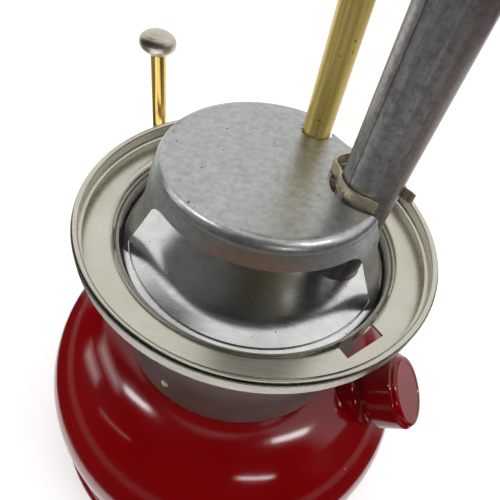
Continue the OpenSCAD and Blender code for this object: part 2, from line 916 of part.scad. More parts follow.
module heat_shield() {
    right = front_az + leg_spread;
    left = front_az - leg_spread;
    chord_z = skirt_z - 1;
    color(GALVANISED) difference() {
        rotate_extrude() difference() {
            shield_region(0);
            shield_region(shield_wall);
        }
        window_between(left, right, leg_front, leg_front);
        window_between(right, rear_az, -leg_rear, leg_front);
        window_between(rear_az, 360 + left, leg_front, -leg_rear);
        rotate([0, 0, chord_az]) translate([chord_dist, -REACH / 2, chord_z]) cube(REACH);
        at_generator(foot_z) cylinder(r = gen_r + 0.6, h = REACH);
        at_air(foot_z + 1) translate([-hole_shift, 0, 0]) cylinder(r = air_r + hole_room, h = REACH);
    }
}

// A springy band round the air tube, with a thumb bulge and two ends that flick outwards
module tube_clip() {
    from = -13;
    to = 276;
    steps = 72;
    bulge = 2.9;
    bulge_az = 135;
    angles = [for (i = [0 : steps]) from + (to - from) * i / steps];
    function hump(a, middle, width, power = 2) = exp(-pow((a - middle) / width, power));
    function reach(a) = air_r + pass_gap + bulge * hump(a, bulge_az, 27, 4)
        + 2.4 * hump(a, from, 7) + 0.9 * hump(a, to, 8);
    color(CLIP_TAN) at_air(shield_z + pass_gap) rotate([0, 0, -air_az]) linear_extrude(clip_w)
        polygon(concat(
            [for (a = angles) reach(a) * [cos(a), sin(a)]],
            [for (i = [steps : -1 : 0]) (reach(angles[i]) + clip_t) * [cos(angles[i]), sin(angles[i])]]));
}

// Burner

module air_tube() {
    color(STEEL) at_air(air_low) ring(air_r, air_r - air_wall, tube_top - air_low);
}

// A straight bar of round section between two places seen from above
module bar(from, to, r) {
    run = to - from;
    translate([from[0], from[1], head_z]) rotate([0, 0, atan2(run[1], run[0])]) rod_x(r, 0, norm(run));
}

air_xy = air_dist * [cos(air_az), sin(air_az)];
gen_xy = gen_dist * [cos(gen_az), sin(gen_az)];

module burner_head() {
    duct = air_r + duct_wall;
    tip_corner = tip_af / sqrt(3);
    gen_boss = tip_corner + head_wall - 0.2;
    crown_z = head_z + head_half - 2;
    color(DARK) difference() {
        union() {
            at_air(head_z - air_socket) cylinder(r = air_r + head_wall, h = crown_z - head_z + air_socket);
            at_air(crown_z) cylinder(r1 = air_r + head_wall, r2 = air_r, h = head_crown);
            translate([0, 0, head_z - stack_drop])
                cylinder(r = burner_tube_r + stack_wall, h = stack_drop + head_half);
            at_generator(head_z - gen_socket) cylinder(r = gen_boss, h = crown_z - head_z + gen_socket);
            bar([0, 0], air_xy, duct);
            bar([0, 0], gen_xy, gen_boss - 1);
        }
        at_air(head_z - air_socket - 1)
            cylinder(r = air_r + seat_gap, h = air_socket + 1 + tube_top - head_z);
        translate([0, 0, head_z - stack_drop - 1])
            cylinder(r = burner_tube_r + seat_gap, h = stack_drop + 1 - tube_seat);
        at_generator(head_z - gen_socket - 1) cylinder(r = tip_corner + pass_gap, h = gen_socket - 1);
        bar([0, 0], air_xy, duct_bore);
        translate([0, 0, head_z + head_half - stud_seat]) cylinder(r = stud_r + seat_gap, h = REACH);
    }
}

module burner_tube() {
    low = burner_low + burner_h - 3;
    color(STEEL) translate([0, 0, low])
        ring(burner_tube_r, burner_tube_r - burner_tube_wall, head_z - tube_seat - low);
}

module burner_cap() {
    groove_z = burner_low + 4;
    color(STEEL) rotate_extrude() difference() {
        union() {
            translate([0, burner_low]) square([burner_r, burner_h]);
            translate([burner_r - 0.2, burner_low + burner_h - 1]) circle(0.9);
        }
        translate([0, burner_low - 1]) square([burner_r - burner_wall, burner_h - 2]);
        translate([0, burner_low]) square([burner_tube_r + seat_gap, burner_h + 2]);
        translate([burner_r, groove_z]) circle(0.7);
    }
}

module burner_screen() {
    pitch = 3;
    hole = 0.9;
    color(STEEL) translate([0, 0, burner_low + 0.2]) difference() {
        cylinder(r = burner_r - burner_wall - seat_gap, h = screen_t);
        for (i = [-2 : 2], j = [-2 : 2])
            if (norm([i, j]) < 2.3) translate([i * pitch, j * pitch, -1]) cylinder(r = hole, h = 3);
    }
}

module top_stud() {
    low = head_z + head_half - stud_seat;
    color(NICKEL) {
        translate([0, 0, low]) cylinder(r = stud_r, h = stud_seat + stud_len);
        translate([0, 0, head_z + head_half]) difference() {
            hex(stud_nut_af, stud_nut_t);
            translate([0, 0, -1]) cylinder(r = stud_r - SMALL, h = stud_nut_t + 2);
        }
    }
}

fount_shell();
fount_bottom();
filler_neck();
filler_gasket();
filler_cap();
cap_insert();
pump_boss();
pump_barrel();
pump_cap();
check_valve();
check_ball();
air_stem();
pump_cup();
cup_plate();
cup_retainer();
plunger_rod();
cup_nut();
pump_knob();
fuel_tube();
valve_body();
clamp_nut();
packing_nut();
valve_stem();
valve_wheel();
wheel_screw();
direction_disc();
eccentric_block();
lever_gland();
cleaning_lever();
cleaning_needle();
jam_nut();
generator_tube();
generator_liner();
gas_tip();
collar_band();
band_rivets();
globe_rest();
inner_plate();
heat_shield();
tube_clip();
air_tube();
burner_head();
burner_tube();
burner_cap();
burner_screen();
top_stud();
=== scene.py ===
"""Looks of a pressure gasoline lantern: finishes, three added pieces, studio and camera."""
import math

import bmesh
import bpy
from mathutils import Matrix, Vector


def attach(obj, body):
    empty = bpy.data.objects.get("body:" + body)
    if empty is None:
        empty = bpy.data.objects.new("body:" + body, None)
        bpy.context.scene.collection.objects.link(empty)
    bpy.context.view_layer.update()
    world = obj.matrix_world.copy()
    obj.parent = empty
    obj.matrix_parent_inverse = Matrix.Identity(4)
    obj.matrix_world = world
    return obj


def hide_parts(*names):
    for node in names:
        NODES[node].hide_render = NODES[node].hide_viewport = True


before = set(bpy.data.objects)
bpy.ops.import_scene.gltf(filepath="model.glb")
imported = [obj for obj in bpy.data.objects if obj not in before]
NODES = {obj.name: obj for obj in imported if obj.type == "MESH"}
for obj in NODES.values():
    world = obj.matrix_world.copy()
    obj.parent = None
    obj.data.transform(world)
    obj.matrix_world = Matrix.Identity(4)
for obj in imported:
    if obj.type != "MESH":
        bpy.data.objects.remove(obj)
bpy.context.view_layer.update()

MM, MICRON = 0.001, 1e-6

# Sockets of a Mix of colours. In a Map Range, 1 and 2 are the range it reads, 3 and 4 what it gives
MIX_A, MIX_B, MIX_OUT = 6, 7, 2
COLOURS = {"data_type": "RGBA"}
WHITE = (1, 1, 1, 1)

# Length of a hairline and of a drawing streak, in their own widths
HAIR_LENGTH, STREAK_LENGTH = 28, 40


def linear(code):
    """A colour written as sRGB hex, in linear light."""
    parts = [int(code[i:i + 2], 16) / 255 for i in (1, 3, 5)]
    return tuple(c / 12.92 if c <= 0.04045 else ((c + 0.055) / 1.055) ** 2.4
                 for c in parts) + (1.0,)


def per_m(size_mm):
    """Texture scale that gives features of this size, as Object coordinates are in metres."""
    return 1000.0 / size_mm


def soft(x, width):
    """0 at an edge, 1 from this width inwards, smooth between."""
    x = min(max(x / width, 0.0), 1.0)
    return x * x * (3 - 2 * x)


def add(tree, kind, values=None, links=None, **props):
    """Adds a node, sets its properties and the values of its sockets, and links the others."""
    made = tree.nodes.new(kind)
    for name, value in props.items():
        setattr(made, name, value)
    for socket, value in (values or {}).items():
        made.inputs[socket].default_value = value
    for socket, (other, output) in (links or {}).items():
        tree.links.new(other.outputs[output], made.inputs[socket])
    return made


def blank_finish(name, values):
    """A new material: one shader with these values all over, and the place on the piece."""
    finish = bpy.data.materials.new(name)
    finish.use_nodes = True
    tree = finish.node_tree
    tree.nodes.clear()
    shader = add(tree, "ShaderNodeBsdfPrincipled", values)
    add(tree, "ShaderNodeOutputMaterial", links={"Surface": (shader, 0)})
    place = (add(tree, "ShaderNodeTexCoord"), "Object")
    return finish, tree, shader, place


def dress(tree, shader, colour, gloss, relief):
    """Gives a finish its colour, gloss and fine relief."""
    tree.links.new(colour.outputs[MIX_OUT], shader.inputs["Base Color"])
    tree.links.new(gloss.outputs[0], shader.inputs["Roughness"])
    tree.links.new(relief.outputs[0], shader.inputs["Normal"])


def stove_enamel():
    """Red enamel, dipped and fired on steel: deep, glassy, a little wavy, with a few dust nibs."""
    finish, tree, shader, place = blank_finish(
        "stove_enamel_red", {"Metallic": 0.0, "IOR": 1.5, "Specular IOR Level": 0.5})
    cloud_mm, dust_mm, smudge_mm, peel_mm = 32, 11, 17, 3.2
    cloud = add(tree, "ShaderNodeTexNoise", {"Scale": per_m(cloud_mm), "Detail": 2.0},
                {"Vector": place})
    depth = add(tree, "ShaderNodeMix", {MIX_A: linear("#5f0003"), MIX_B: linear("#730206")},
                {0: (cloud, 0)}, **COLOURS)
    # Nibs are drawn about twice as large as real ones, so that they show
    dust = add(tree, "ShaderNodeTexVoronoi", {"Scale": per_m(dust_mm)}, {"Vector": place})
    nib = add(tree, "ShaderNodeMapRange", {1: 0.028, 2: 0.045, 3: 1.0, 4: 0.0},
              {0: (dust, "Distance")})
    colour = add(tree, "ShaderNodeMix", {MIX_B: linear("#b9696a")},
                 {0: (nib, 0), MIX_A: (depth, MIX_OUT)}, **COLOURS)
    smudge = add(tree, "ShaderNodeTexNoise", {"Scale": per_m(smudge_mm), "Detail": 4.0},
                 {"Vector": place})
    gloss = add(tree, "ShaderNodeMapRange", {1: 0.35, 2: 0.75, 3: 0.09, 4: 0.16}, {0: (smudge, 0)})
    peel = add(tree, "ShaderNodeTexNoise", {"Scale": per_m(peel_mm), "Detail": 1.0},
               {"Vector": place})
    wave = add(tree, "ShaderNodeBump", {"Strength": 0.12, "Distance": 40 * MICRON},
               {"Height": (peel, 0)})
    raised = add(tree, "ShaderNodeBump", {"Strength": 0.6, "Distance": 50 * MICRON},
                 {"Height": (nib, 0), "Normal": (wave, 0)})
    dress(tree, shader, colour, gloss, raised)
    return finish


def specked(tree, place, colour, spacing_mm, share, speck):
    """Small dark specks over a colour; a share of their spacing is their radius."""
    spots = add(tree, "ShaderNodeTexVoronoi", {"Scale": per_m(spacing_mm)}, {"Vector": place})
    spot = add(tree, "ShaderNodeMapRange", {1: share * 0.6, 2: share, 3: 0.85, 4: 0.0},
               {0: (spots, "Distance")})
    return add(tree, "ShaderNodeMix", {MIX_B: linear(speck)},
               {0: (spot, 0), MIX_A: (colour, MIX_OUT)}, **COLOURS)


def sheet_metal(name, light, dark, cloud_mm, rough, hair_mm, hair_um, metallic=1.0,
                speck=None, tint=None):
    """Rolled and plated sheet: cloudy tone, and handling hairlines in two directions.

    speck is what specked() takes; tint is a brown painted reflection of the red tank,
    its centre and reach in mm and its colour.
    """
    finish, tree, shader, place = blank_finish(name, {"Metallic": metallic})
    cloud = add(tree, "ShaderNodeTexNoise",
                {"Scale": per_m(cloud_mm), "Detail": 5.0, "Roughness": 0.6}, {"Vector": place})
    tone = add(tree, "ShaderNodeMapRange", {1: 0.3, 2: 0.72}, {0: (cloud, 0)})
    colour = add(tree, "ShaderNodeMix", {MIX_A: linear(light), MIX_B: linear(dark)},
                 {0: (tone, 0)}, **COLOURS)
    # Real hairlines are some hundredths of a millimetre wide: drawn ten times coarser to show
    hairs = []
    for turn in (0.5, -0.9):
        along = add(tree, "ShaderNodeMapping",
                    {"Rotation": (0.3 * turn, 0.2, turn),
                     "Scale": (per_m(hair_mm * HAIR_LENGTH), per_m(hair_mm), per_m(hair_mm))},
                    {"Vector": place})
        hairs.append(add(tree, "ShaderNodeTexNoise", {"Scale": 1.0, "Detail": 2.0},
                         {"Vector": (along, 0)}))
    both = add(tree, "ShaderNodeMath", None, {0: (hairs[0], 0), 1: (hairs[1], 0)}, operation="ADD")
    rub = add(tree, "ShaderNodeMapRange", {1: 0.7, 2: 1.35, 3: rough[0], 4: rough[1]},
              {0: (both, 0)})
    bump = add(tree, "ShaderNodeBump", {"Strength": 1.0, "Distance": hair_um * MICRON},
               {"Height": (both, 0)})
    if speck:
        colour = specked(tree, place, colour, *speck)
    # A brown patch painted on as the red tank's reflection in the drum
    if tint:
        centre, reach, brown = tint
        off = add(tree, "ShaderNodeVectorMath", {1: Vector(centre) * MM}, {0: place},
                  operation="SUBTRACT")
        # An oval, longer round the piece than up it
        oval = add(tree, "ShaderNodeVectorMath", {1: (0.55, 0.7, 1.7)}, {0: (off, 0)},
                   operation="MULTIPLY")
        away = add(tree, "ShaderNodeVectorMath", None, {0: (oval, 0)}, operation="LENGTH")
        near = add(tree, "ShaderNodeMapRange",
                   {1: 0.25 * reach * MM, 2: reach * MM, 3: 1.0, 4: 0.0}, {0: (away, "Value")},
                   interpolation_type="SMOOTHSTEP")
        uneven = add(tree, "ShaderNodeMath", {1: 0.4, 2: 0.55}, {0: (tone, 0)},
                     operation="MULTIPLY_ADD")
        painted_tank_reflection = add(tree, "ShaderNodeMath", None, {0: (near, 0), 1: (uneven, 0)},
                    operation="MULTIPLY")
        colour = add(tree, "ShaderNodeMix", {MIX_B: linear(brown)},
                     {0: (painted_tank_reflection, 0), MIX_A: (colour, MIX_OUT)}, **COLOURS)
    dress(tree, shader, colour, rub, bump)
    return finish


def drawn_tube(name, light, dark, stain, streak_mm, rough, metallic=1.0, groove_um=12,
               speck=None, mottle=None, seam=None, side=None):
    """Tube or rod drawn through a die: streaks along it, stained where it was handled and heated.

    speck is what specked() takes; mottle is the size of dull flecks in mm and their colour; seam
    is a dark line along the tube, its x, y and reach in mm; side is a browned right side, the x
    in mm where it starts and where it is full, and its colour.
    """
    finish, tree, shader, place = blank_finish(name, {"Metallic": metallic})
    blot_mm, ragged_mm = 9, 4
    # Real die streaks are finer than a tenth of a millimetre: drawn coarser, so that they show
    along = add(tree, "ShaderNodeMapping",
                {"Scale": (per_m(streak_mm), per_m(streak_mm), per_m(streak_mm * STREAK_LENGTH))},
                {"Vector": place})
    streak = add(tree, "ShaderNodeTexNoise", {"Scale": 1.0, "Detail": 4.0, "Roughness": 0.65},
                 {"Vector": (along, 0)})
    tone = add(tree, "ShaderNodeMapRange", {1: 0.32, 2: 0.7}, {0: (streak, 0)})
    clean = add(tree, "ShaderNodeMix", {MIX_A: linear(light), MIX_B: linear(dark)},
                {0: (tone, 0)}, **COLOURS)
    blot = add(tree, "ShaderNodeTexNoise",
               {"Scale": per_m(blot_mm), "Detail": 6.0, "Roughness": 0.7}, {"Vector": place})
    mark = add(tree, "ShaderNodeMapRange", {1: 0.56, 2: 0.72, 3: 0.0, 4: 0.75}, {0: (blot, 0)})
    aged = add(tree, "ShaderNodeMix", {MIX_B: linear(stain)},
               {0: (mark, 0), MIX_A: (clean, MIX_OUT)}, **COLOURS)
    rub = add(tree, "ShaderNodeMapRange", {1: 0.3, 2: 0.7, 3: rough[0], 4: rough[1]},
              {0: (streak, 0)})
    bump = add(tree, "ShaderNodeBump", {"Strength": 0.6, "Distance": groove_um * MICRON},
               {"Height": (streak, 0)})
    if mottle:
        fleck_mm, dull = mottle
        flecks = add(tree, "ShaderNodeTexNoise",
                     {"Scale": per_m(fleck_mm), "Detail": 8.0, "Roughness": 0.75},
                     {"Vector": place})
        fleck = add(tree, "ShaderNodeMapRange", {1: 0.46, 2: 0.62, 3: 0.0, 4: 0.7},
                    {0: (flecks, 0)})
        aged = add(tree, "ShaderNodeMix", {MIX_B: linear(dull)},
                   {0: (fleck, 0), MIX_A: (aged, MIX_OUT)}, **COLOURS)
    if speck:
        aged = specked(tree, place, aged, *speck)
    if seam:
        seam_x, seam_y, reach = seam
        level = add(tree, "ShaderNodeVectorMath", {1: (1, 1, 0)}, {0: place},
                    operation="MULTIPLY")
        off = add(tree, "ShaderNodeVectorMath", {1: (seam_x * MM, seam_y * MM, 0)},
                  {0: (level, 0)}, operation="DISTANCE")
        line = add(tree, "ShaderNodeMapRange",
                   {1: 0.5 * reach * MM, 2: reach * MM, 3: 0.75, 4: 0.0}, {0: (off, "Value")})
        aged = add(tree, "ShaderNodeMix", {MIX_B: linear(stain)},
                   {0: (line, 0), MIX_A: (aged, MIX_OUT)}, **COLOURS)
    if side:
        start, full, brown = side
        across = add(tree, "ShaderNodeSeparateXYZ", None, {0: place})
        ragged = add(tree, "ShaderNodeMath", {1: ragged_mm * MM}, {0: (streak, 0), 2: (across, 0)},
                     operation="MULTIPLY_ADD")
        half = add(tree, "ShaderNodeMapRange", {1: start * MM, 2: full * MM, 3: 0.0, 4: 0.6},
                   {0: (ragged, 0)})
        aged = add(tree, "ShaderNodeMix", {MIX_B: linear(brown)},
                   {0: (half, 0), MIX_A: (aged, MIX_OUT)}, **COLOURS)
    dress(tree, shader, aged, rub, bump)
    return finish


def grained(name, light, dark, metallic, grain_mm, grain_um, rough):
    """Cast, moulded, tanned or rolled stuff: small pits and bumps, and a tone that follows them."""
    finish, tree, shader, place = blank_finish(name, {"Metallic": metallic})
    # Grain finer than half a millimetre wouldn't show, so the finest is drawn that coarse
    grain = add(tree, "ShaderNodeTexNoise",
                {"Scale": per_m(grain_mm), "Detail": 4.0, "Roughness": 0.6}, {"Vector": place})
    colour = add(tree, "ShaderNodeMix", {MIX_A: linear(dark), MIX_B: linear(light)},
                 {0: (grain, 0)}, **COLOURS)
    rub = add(tree, "ShaderNodeMapRange", {1: 0.3, 2: 0.7, 3: rough[0], 4: rough[1]},
              {0: (grain, 0)})
    bump = add(tree, "ShaderNodeBump", {"Strength": 1.0, "Distance": grain_um * MICRON},
               {"Height": (grain, 0)})
    dress(tree, shader, colour, rub, bump)
    return finish


# Deep red gloss of the tank, neck and cap
ENAMEL = stove_enamel()
# Warm cream sheen of the globe rest, with faint hairlines from use
NICKEL = sheet_metal("bright_nickel_plate", "#cbc8bb", "#c0bcad", 16, (0.21, 0.29), 0.5, 0.3)
# Taupe, rubbed pump knob without a clear reflection
DULL_NICKEL = sheet_metal("worn_dull_nickel_plate", "#d6cdc1", "#beb4a9", 4, (0.36, 0.48), 0.5, 3)
# Bright plate that blurs the drum above it, with scratches and a few specks
TINNED = sheet_metal("tinned_steel_sheet", "#e4e5e3", "#cbccca", 7, (0.19, 0.29), 0.35, 3,
                     speck=(3.2, 0.09, "#77787a"))
# Mottled satin grey drum, a few specks, and a brown painted reflection of the red tank low in front
ZINC = sheet_metal("galvanised_steel_sheet", "#b8bab8", "#9a9d9c", 1.7, (0.27, 0.4), 0.6, 5,
                   metallic=0.9, speck=(4.5, 0.085, "#3b3733"),
                   tint=((0.0, -31.0, 133.5), 10.5, "#c39a7e"))
# Grey-brown satin band that takes only a breath of the tank's red
BAND = sheet_metal("satin_plated_steel_band", "#a8a39c", "#948e87", 12, (0.44, 0.56), 0.4, 3,
                   metallic=0.85)
# Olive-yellow tube, oxidised, with long dark streaks and brown spots
BRASS_TUBE = drawn_tube("aged_drawn_brass", "#dfc674", "#b29a56", "#876c3b", 0.8, (0.26, 0.38),
                        metallic=0.65, speck=(3.5, 0.1, "#4f3c1e"))
# Golden rod and fittings, wiped bright
BRASS = drawn_tube("turned_brass", "#ecca7b", "#d2b062", "#a5864b", 0.7, (0.18, 0.28))
# Pale rivet heads
PALE_BRASS = drawn_tube("tumbled_brass_rivet", "#f0e6c8", "#d9cba6", "#b8a678", 0.4, (0.2, 0.3),
                        metallic=0.55)
# Plain grey screws, needle and lever
STEEL = drawn_tube("bright_steel_wire", "#a9a8a6", "#8a8987", "#6a6764", 0.5, (0.22, 0.32))
# Grey tube with a seam line and dull flecks, browned by heat on its right
AIR_TUBE = drawn_tube("heat_dulled_steel_tube", "#aaa9a6", "#8f8c89", "#54494a", 1.1, (0.24, 0.38),
                      metallic=0.8, groove_um=7, mottle=(1.5, "#6f6a68"),
                      seam=(17.75, -8.22, 0.3), side=(25, 30, "#6f5450"))
# Tan clip with light edges
CLIP = sheet_metal("straw_tempered_spring_steel", "#c6b89f", "#b0a088", 12, (0.24, 0.32), 0.4, 0.6,
                   metallic=0.75)
# Dark, rough casting
IRON = grained("sand_cast_iron", "#4a4744", "#2e2c2a", 0.9, 0.7, 60, (0.5, 0.7))
# Black wheel with a low gloss
PHENOLIC = grained("moulded_phenolic_black", "#141414", "#0c0c0c", 0.0, 0.6, 6, (0.3, 0.42))
# Dull black seal
RUBBER = grained("moulded_rubber_black", "#151515", "#0b0b0b", 0.0, 0.5, 10, (0.6, 0.75))
# Brown pump cup with pores
LEATHER = grained("oiled_leather", "#6b4a30", "#4a3220", 0.0, 0.9, 50, (0.45, 0.65))
# Buff paper roll
CARD = grained("rolled_paper_liner", "#a48a66", "#8a7250", 0.0, 0.8, 30, (0.7, 0.85))

SLOT_FINISH = {
    "red_enamel": ENAMEL, "nickel": NICKEL, "galvanised": ZINC, "brass": BRASS, "steel": STEEL,
    "band_steel": BAND, "tube_steel": AIR_TUBE, "clip_steel": CLIP, "cast_iron": IRON,
    "wheel_plastic": PHENOLIC, "rubber": RUBBER, "leather": LEATHER, "liner_paper": CARD,
}
NODE_FINISH = {"generator_tube": BRASS_TUBE, "pump_knob": DULL_NICKEL, "band_rivets": PALE_BRASS}

for name, piece in NODES.items():
    slot = piece.material_slots[0]
    slot.material = NODE_FINISH.get(name, SLOT_FINISH[slot.material.name])

# The clip's edges are broken a little and catch the light
CLIP_WELD, CLIP_EDGE, CLIP_EDGE_ANGLE = 0.005 * MM, 0.14 * MM, math.radians(50)
weld = NODES["tube_clip"].modifiers.new("weld", "WELD")
weld.merge_threshold = CLIP_WELD
edge = NODES["tube_clip"].modifiers.new("broken_edges", "BEVEL")
edge.width, edge.segments = CLIP_EDGE, 2
edge.limit_method, edge.angle_limit = "ANGLE", CLIP_EDGE_ANGLE


def built(name, work):
    """An object at the origin with the mesh that a bmesh holds."""
    mesh = bpy.data.meshes.new(name)
    work.to_mesh(mesh)
    work.free()
    made = bpy.data.objects.new(name, mesh)
    bpy.context.scene.collection.objects.link(made)
    return made


def half_section(work, profile):
    """Draws a closed half section of (radius, height) in mm, and gives it to be spun."""
    points = [work.verts.new((r * MM, 0, z * MM)) for r, z in profile]
    return points + [work.edges.new(pair) for pair in zip(points, points[1:] + points[:1])]


def turned(name, profile, steps=180):
    """A solid turned about the lantern's axis from a half section."""
    work = bmesh.new()
    bmesh.ops.spin(work, geom=half_section(work, profile), axis=(0, 0, 1), angle=math.tau,
                   steps=steps, use_merge=True)
    bmesh.ops.remove_doubles(work, verts=work.verts, dist=1e-6)
    bmesh.ops.dissolve_degenerate(work, edges=work.edges, dist=1e-7)
    bmesh.ops.recalc_face_normals(work, faces=work.faces)
    return built(name, work)


def bored(piece, holes):
    """Cuts upright round holes, each (x, y, radius) in mm, through a piece."""
    drill_top, drill_steps = 200, 96
    for x, y, r in holes:
        drill = turned("drill", ((0, 0), (r, 0), (r, drill_top), (0, drill_top)), drill_steps)
        drill.data.transform(Matrix.Translation((x * MM, y * MM, 0)))
        cut = piece.modifiers.new("cut", "BOOLEAN")
        cut.operation, cut.object, cut.solver = "DIFFERENCE", drill, "EXACT"
        bpy.context.view_layer.update()
        seen = piece.evaluated_get(bpy.context.evaluated_depsgraph_get())
        mesh = bpy.data.meshes.new_from_object(seen)
        piece.modifiers.clear()
        piece.data = mesh
        bpy.data.objects.remove(drill)
    piece.data.shade_smooth()
    piece.data.set_sharp_from_angle(angle=math.radians(30))


# Inner plate, in mm: its sheet, the height and radius of its flat middle, its shoulder, its groove
SHEET, PLATE_Z, PLATE_FLAT_R = 0.7, 113.0, 28.6
SHOULDER_R, SHOULDER_SLOPE, SHOULDER_STEPS = 19, math.radians(16.5), 12
GROOVE_R = 36.75
# From the groove over the rim, down the skirt and back under
PLATE_RIM = [(36.95, 111.13), (37.12, 111.13), (37.32, 111.25), (38.75, 110.94), (39.0, 110.66),
             (39.1, 110.3), (39.1, 107.3), (38.4, 107.3), (38.4, 110.1), (GROOVE_R, 110.2)]
# For the generator's nut and for the air tube
PLATE_HOLES = ((9.65, 17.4, 10.2), (23.57, -3.99, 7.35))


def plate_section():
    """Flat in the middle, a soft shoulder down to a groove, a sloped rim and a short skirt."""
    top = [(0, PLATE_Z)]
    for i in range(SHOULDER_STEPS + 1):
        slope = SHOULDER_SLOPE * i / SHOULDER_STEPS
        top.append((PLATE_FLAT_R + SHOULDER_R * math.sin(slope),
                    PLATE_Z - SHOULDER_R * (1 - math.cos(slope))))
    shoulder_r, shoulder_z = top[-1]
    top.append((GROOVE_R, shoulder_z - (GROOVE_R - shoulder_r) * math.tan(SHOULDER_SLOPE)))
    under = [(r, z - SHEET) for r, z in reversed(top)]
    return top + PLATE_RIM + under


plate = turned("inner_plate_flat", plate_section())
bored(plate, PLATE_HOLES)
plate.data.materials.append(TINNED)
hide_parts("inner_plate")
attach(plate, "root")

# Thread: steps in a turn, how deep its foot is sunk in mm, half its foot and crest in pitches
THREAD_STEPS, THREAD_SUNK, THREAD_FOOT, THREAD_CREST = 48, 0.1, 0.42, 0.06


def thread(name, foot, axis, r, pitch, start, end, depth, finish):
    """A screw thread on a round shank: a ridge that winds up it, thinning out at both ends."""
    work = bmesh.new()
    steps = int((end - start) / pitch * THREAD_STEPS)
    sunk, crest = r - THREAD_SUNK, r + depth
    ridge = half_section(work, [(radius, start + up * pitch) for radius, up in (
        (sunk, -THREAD_FOOT), (crest, -THREAD_CREST), (crest, THREAD_CREST), (sunk, THREAD_FOOT))])
    bmesh.ops.spin(work, geom=ridge, axis=(0, 0, 1), dvec=(0, 0, pitch / THREAD_STEPS * MM),
                   angle=math.tau * steps / THREAD_STEPS, steps=steps)
    for vert in work.verts:
        if vert.co.xy.length > r * MM:
            rise = soft(min(vert.co.z - start * MM, end * MM - vert.co.z), pitch / 3 * MM)
            vert.co.xy *= (r + depth * rise) / crest
    bmesh.ops.holes_fill(work, edges=work.edges, sides=4)
    bmesh.ops.recalc_face_normals(work, faces=work.faces)
    turn = Vector(axis).to_track_quat("Z", "Y").to_matrix().to_4x4()
    bmesh.ops.transform(work, matrix=Matrix.Translation(Vector(foot) * MM) @ turn,
                        verts=work.verts)
    made = built(name, work)
    made.data.materials.append(finish)
    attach(made, "root")


# A point on the filler neck's axis, in mm, and its direction
FILLER_FOOT, FILLER_AXIS = (49.552, -17.645, 64.893), (0.708411, -0.124912, 0.694658)
thread("stud_thread", (0, 0, 0), (0, 0, 1), r=2.4, pitch=0.8, start=242, end=257.4, depth=0.2,
       finish=NICKEL)
thread("filler_thread", FILLER_FOOT, FILLER_AXIS, r=9.7, pitch=2.1, start=6.6, end=11.6, depth=0.22,
       finish=ENAMEL)

# Studio, in metres and degrees. What the lamps face
LAMP_AIM = (0.0, -0.02, 0.09)
# Both flags: their outer radius, and the azimuth where they start on the left
FLAG_R, FLAG_AZ = 0.7, -215
# Mat: its inner radius, its height, and how far it goes round
MAT_IN, MAT_Z, MAT_TURN = 0.11, 0.001, 255
# Curtain: its middle's height, its elevations, and the azimuth where it ends low on the right
CURTAIN_Z, CURTAIN_LOW, CURTAIN_HIGH, CURTAIN_END = 0.06, -6, 78, 45
# How much each side of the curtain draws back, above which elevation, and over how many degrees
LEFT_BACK, LEFT_ABOVE, RIGHT_BACK, RIGHT_ABOVE, BACK_OVER = 15, 22, 61, 16, 12


def lamp(name, start, end, width, radiance, aim=LAMP_AIM):
    """A soft rectangular light between two places that faces a point; the camera doesn't see it."""
    start, end = Vector(start), Vector(end)
    centre, length = (start + end) / 2, (end - start).length
    out = (centre - Vector(aim)).normalized()
    side = out.cross(end - start).normalized()
    light = bpy.data.lights.new(name, "AREA")
    light.shape = "RECTANGLE"
    light.size, light.size_y = length, width
    light.energy = radiance * math.pi * length * width
    made = bpy.data.objects.new(name, light)
    turn = Matrix((side.cross(out), side, out)).transposed().to_4x4()
    made.matrix_world = Matrix.Translation(centre) @ turn
    made.visible_camera = False
    bpy.context.scene.collection.objects.link(made)
    return made


def direct_rays(tree):
    """1 for the camera's rays and those that metal and glass send on, 0 for light on things."""
    path = add(tree, "ShaderNodeLightPath")
    mirrored = add(tree, "ShaderNodeMath", None,
                   {0: (path, "Is Camera Ray"), 1: (path, "Is Glossy Ray")}, operation="MAXIMUM")
    return add(tree, "ShaderNodeMath", None,
               {0: (mirrored, 0), 1: (path, "Is Transmission Ray")}, operation="MAXIMUM")


def flag(name, place, cover):
    """A black cloth that only reflections see: place gives its points, cover its density there."""
    cloth = bmesh.new()
    bmesh.ops.create_grid(cloth, x_segments=48, y_segments=24, size=0.5)
    density = cloth.verts.layers.float.new("cover")
    for vert in cloth.verts:
        across, along = vert.co.x + 0.5, vert.co.y + 0.5
        vert.co = place(across, along)
        vert[density] = cover(across, along)
    made = built(name, cloth)
    made.data.materials.append(FELT)
    made.visible_camera = False
    made.visible_diffuse = False
    made.visible_shadow = False


def ring_point(az_deg, r, z):
    """A point at an azimuth, a radius and a height."""
    return Vector((r * math.cos(math.radians(az_deg)), r * math.sin(math.radians(az_deg)), z))


def edged(u, width):
    """Cover that fades at both sides."""
    return soft(u, width) * soft(1 - u, width)


def curtain_point(across, along):
    """A curtain over the front that reaches further round both sides low down than high up."""
    el = CURTAIN_LOW + (CURTAIN_HIGH - CURTAIN_LOW) * along
    left = FLAG_AZ + LEFT_BACK * soft(el - LEFT_ABOVE, BACK_OVER)
    right = CURTAIN_END - RIGHT_BACK * soft(el - RIGHT_ABOVE, BACK_OVER)
    rise = math.radians(el)
    return ring_point(left + (right - left) * across,
                      FLAG_R * math.cos(rise), CURTAIN_Z + FLAG_R * math.sin(rise))


def curtain_cover(across, along):
    """Fades at both sides and at the top."""
    return edged(across, 0.07) * soft(1 - along, 0.075)


def mat_point(across, along):
    """A mat on the floor round the front."""
    return ring_point(FLAG_AZ + MAT_TURN * across, MAT_IN + (FLAG_R - MAT_IN) * along, MAT_Z)


def mat_cover(across, along):
    """Fades at both sides, thinner away from the lantern and at the right."""
    outer, right = 1 - 0.22 * soft(along - 0.2, 0.12), 1 - 0.4 * soft(across - 0.8, 0.06)
    return edged(across, 0.06) * outer * right


